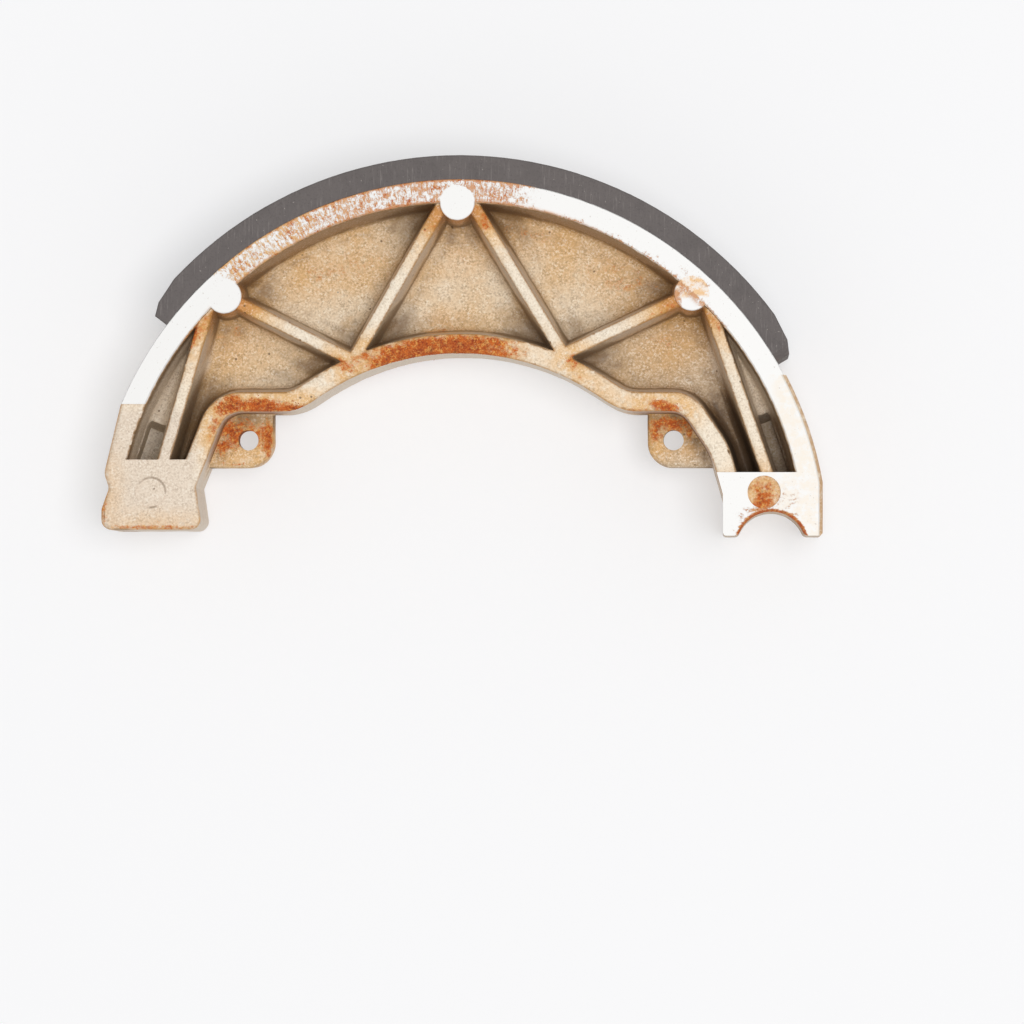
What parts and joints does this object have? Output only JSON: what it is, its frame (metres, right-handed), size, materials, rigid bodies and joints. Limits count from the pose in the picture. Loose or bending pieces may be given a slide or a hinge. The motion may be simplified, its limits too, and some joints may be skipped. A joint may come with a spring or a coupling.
{
  "type": "brake shoe",
  "caption": "Ribbed die-cast brake shoe with a bonded friction lining, a half-round pin seat, a flat cam end and an ear for a return spring near each end.",
  "frame": {"origin": "on the anchor pin's axis, in the plane of the shoe's machined back face", "axes": "+Z along the drum axis from the back face to the front face, +Y from the open side to the crown of the arc, -X towards the cam end"},
  "size_m": [0.1282, 0.0676, 0.028],
  "materials": {
    "cast_aluminium": "as cast, stained and rusted in places, milled on the rim and the pin seat end",
    "lining": "moulded friction compound, dark and matt, lightly scratched"
  },
  "bodies": {
    "root": {"shoe_casting": "cast_aluminium", "friction_lining": "lining"}
  },
  "joints": []
}
